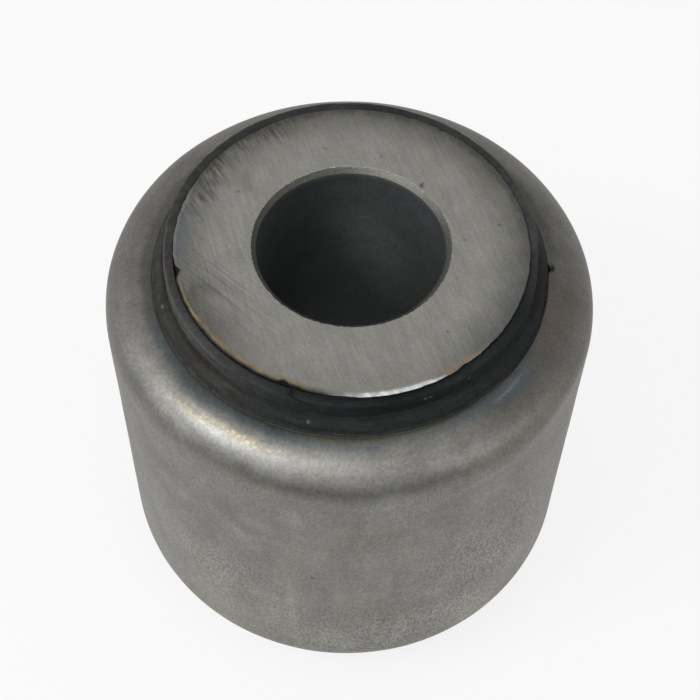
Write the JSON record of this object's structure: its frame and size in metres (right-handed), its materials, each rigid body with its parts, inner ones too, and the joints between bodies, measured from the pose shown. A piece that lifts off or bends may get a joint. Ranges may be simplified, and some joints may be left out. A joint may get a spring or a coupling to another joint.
{
  "type": "bonded rubber bushing",
  "caption": "Thick steel tube bonded in rubber inside a steel sleeve with rolled-in ends. A bolt passes through the bore, and the sleeve presses into an eye.",
  "frame": {"origin": "centre of the bore, at the middle of its length", "axes": "+Z along the bore. The two ends are alike, so +Z may point out of either. +X and +Y are any two square directions across it."},
  "size_m": [0.064, 0.064, 0.065],
  "materials": {
    "tube_steel": "ground, scratched and lightly stained",
    "rubber": "matte, dusty",
    "sleeve_steel": "dull grey wall with burnished shoulders"
  },
  "bodies": {
    "root": {"inner_tube": "tube_steel", "rubber_body": "rubber", "outer_sleeve": "sleeve_steel"}
  },
  "joints": []
}
